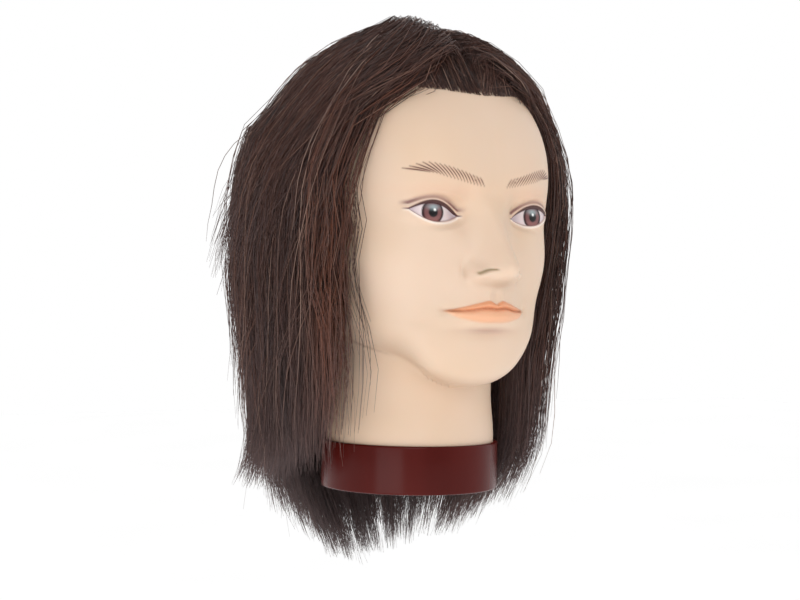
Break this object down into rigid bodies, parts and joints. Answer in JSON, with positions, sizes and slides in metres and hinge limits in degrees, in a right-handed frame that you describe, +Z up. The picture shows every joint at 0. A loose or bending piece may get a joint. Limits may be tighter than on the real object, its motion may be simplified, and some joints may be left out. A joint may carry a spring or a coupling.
{
  "type": "mannequin training head",
  "caption": "Hairdresser's practice head: painted vinyl face and neck, implanted shoulder-length hair, and a base collar with a clamp socket.",
  "frame": {"origin": "centre of the clamp socket's mouth, on the underside of the base; the hair hangs below it", "axes": "+Z up along the neck, the face looks along -Y, the head's left is +X"},
  "size_m": [0.1806, 0.2255, 0.3109],
  "materials": {
    "vinyl": "satin",
    "hair": "satin",
    "foam": "matte",
    "collar": "gloss",
    "plate": "satin",
    "insert": "satin",
    "socket": "satin",
    "screws": "satin"
  },
  "bodies": {
    "root": {"head_skin": "vinyl", "foam_core": "foam", "neck_insert": "insert", "socket_tube": "socket", "base_collar": "collar", "base_plate": "plate", "plate_screw_1": "screws", "plate_screw_2": "screws", "plate_screw_3": "screws", "plate_screw_4": "screws", "hair_front_left": "hair", "hair_front_right": "hair", "hair_crown_left": "hair", "hair_crown_right": "hair", "hair_side_left": "hair", "hair_side_right": "hair", "hair_back_side_left": "hair", "hair_back_side_right": "hair", "hair_nape_left": "hair", "hair_nape_right": "hair"}
  },
  "joints": []
}
